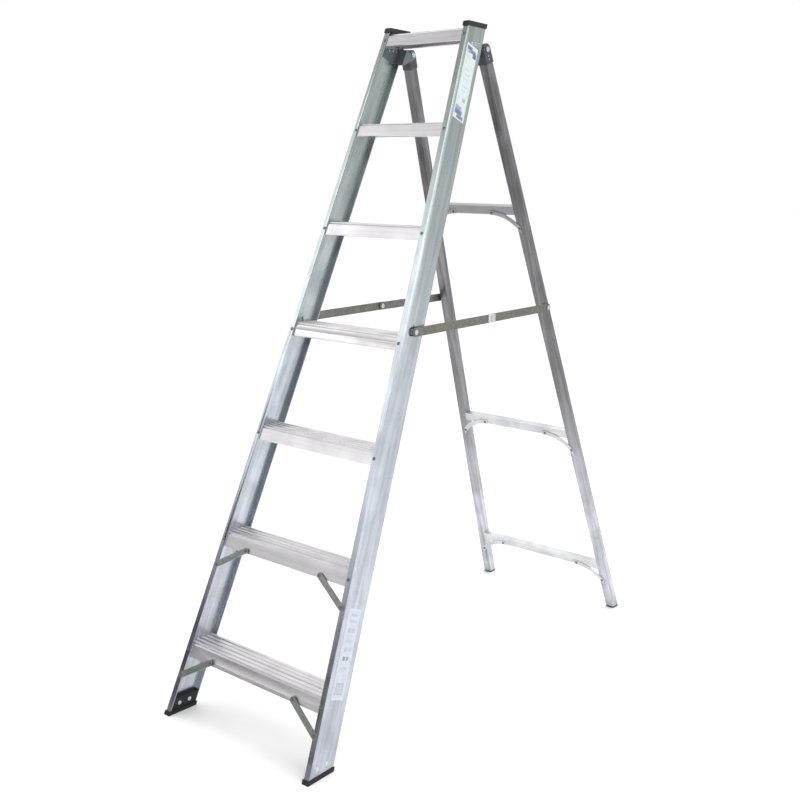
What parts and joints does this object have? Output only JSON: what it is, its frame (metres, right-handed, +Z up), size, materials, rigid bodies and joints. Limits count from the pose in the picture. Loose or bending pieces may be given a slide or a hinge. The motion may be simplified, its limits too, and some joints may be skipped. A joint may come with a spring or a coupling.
{
  "type": "step ladder",
  "caption": "Single-sided folding aluminium step ladder with ribbed treads, a hinged rear frame of tube legs and rungs, and folding spreader bars.",
  "frame": {"origin": "on the floor, at the centre of the opened ladder's footprint", "axes": "+Z up, the climber stands at -Y and faces +Y, +X to the climber's right"},
  "size_m": [0.5334, 1.5116, 1.866],
  "materials": {
    "mill_aluminium": "mill finish, drawn along the length",
    "tread_aluminium": "bright extruded, ribbed",
    "black_plastic": "matt moulded",
    "black_rubber": "matt",
    "hinge_steel": "dark grey coated",
    "shoe_plastic": "dark grey moulded",
    "spreader_steel": "dull galvanised",
    "zinc_steel": "bright zinc plated",
    "rivet_steel": "plated",
    "label_sheet": "plain printed film"
  },
  "bodies": {
    "front_frame": {"front_stile_left": "mill_aluminium", "front_stile_right": "mill_aluminium", "tread_1": "tread_aluminium", "tread_2": "tread_aluminium", "tread_3": "tread_aluminium", "tread_4": "tread_aluminium", "tread_5": "tread_aluminium", "tread_6": "tread_aluminium", "top_tread": "tread_aluminium", "tread_rivets": "rivet_steel", "knee_brace_1_left": "mill_aluminium", "knee_brace_1_right": "mill_aluminium", "knee_brace_2_left": "mill_aluminium", "knee_brace_2_right": "mill_aluminium", "knee_brace_rivets": "rivet_steel", "stile_cap_left": "black_plastic", "stile_cap_right": "black_plastic", "front_foot_left": "black_rubber", "front_foot_right": "black_rubber", "front_foot_rivets": "rivet_steel", "hinge_bracket_left": "hinge_steel", "hinge_bracket_right": "hinge_steel", "hinge_bracket_rivets": "rivet_steel", "hinge_pin_left": "rivet_steel", "hinge_pin_right": "rivet_steel", "spreader_front_pivots": "rivet_steel", "upper_label": "label_sheet", "lower_label": "label_sheet"},
    "rear_frame": {"rear_leg_left": "mill_aluminium", "rear_leg_right": "mill_aluminium", "rear_rung_top": "mill_aluminium", "rear_rung_middle": "mill_aluminium", "rear_rung_bottom": "mill_aluminium", "gusset_top_left": "mill_aluminium", "gusset_top_right": "mill_aluminium", "gusset_middle_left": "mill_aluminium", "gusset_middle_right": "mill_aluminium", "gusset_bottom_left": "mill_aluminium", "gusset_bottom_right": "mill_aluminium", "gusset_rivets": "rivet_steel", "hinge_shoe_left": "shoe_plastic", "hinge_shoe_right": "shoe_plastic", "hinge_shoe_rivets": "rivet_steel", "rear_foot_left": "black_plastic", "rear_foot_right": "black_plastic", "spreader_rear_pivots": "rivet_steel"},
    "spreader_front_left": {"spreader_front_link_left": "spreader_steel", "knuckle_rivet_front_left": "rivet_steel", "knuckle_stop_left": "zinc_steel"},
    "spreader_rear_left": {"spreader_rear_link_left": "spreader_steel", "knuckle_rivet_rear_left": "rivet_steel"},
    "spreader_front_right": {"spreader_front_link_right": "spreader_steel", "knuckle_rivet_front_right": "rivet_steel", "knuckle_stop_right": "zinc_steel"},
    "spreader_rear_right": {"spreader_rear_link_right": "spreader_steel", "knuckle_rivet_rear_right": "rivet_steel"}
  },
  "joints": [
    {"name": "rear_frame_fold", "type": "hinge", "parent": "front_frame", "child": "rear_frame", "pos_m": [0, 0.05008, 1.79651], "axis": [-1, 0, 0], "range_deg": [0, 42]},
    {"name": "spreader_front_left_turn", "type": "hinge", "parent": "front_frame", "child": "spreader_front_left", "pos_m": [0, -0.31436, 1.03128], "axis": [1, 0, 0], "range_deg": [0, 61.8]},
    {"name": "spreader_rear_left_turn", "type": "hinge", "parent": "rear_frame", "child": "spreader_rear_left", "pos_m": [0, 0.33677, 1.04964], "axis": [-1, 0, 0], "range_deg": [0, 64.6]},
    {"name": "spreader_front_right_turn", "type": "hinge", "parent": "front_frame", "child": "spreader_front_right", "pos_m": [0, -0.31436, 1.03128], "axis": [1, 0, 0], "range_deg": [0, 61.8]},
    {"name": "spreader_rear_right_turn", "type": "hinge", "parent": "rear_frame", "child": "spreader_rear_right", "pos_m": [0, 0.33677, 1.04964], "axis": [-1, 0, 0], "range_deg": [0, 64.6]}
  ],
  "couplings": [
    {"joint": "spreader_front_left_turn", "follows": "rear_frame_fold", "ratio": 1.4704},
    {"joint": "spreader_rear_left_turn", "follows": "rear_frame_fold", "ratio": 1.5377},
    {"joint": "spreader_front_right_turn", "follows": "rear_frame_fold", "ratio": 1.4704},
    {"joint": "spreader_rear_right_turn", "follows": "rear_frame_fold", "ratio": 1.5377}
  ]
}
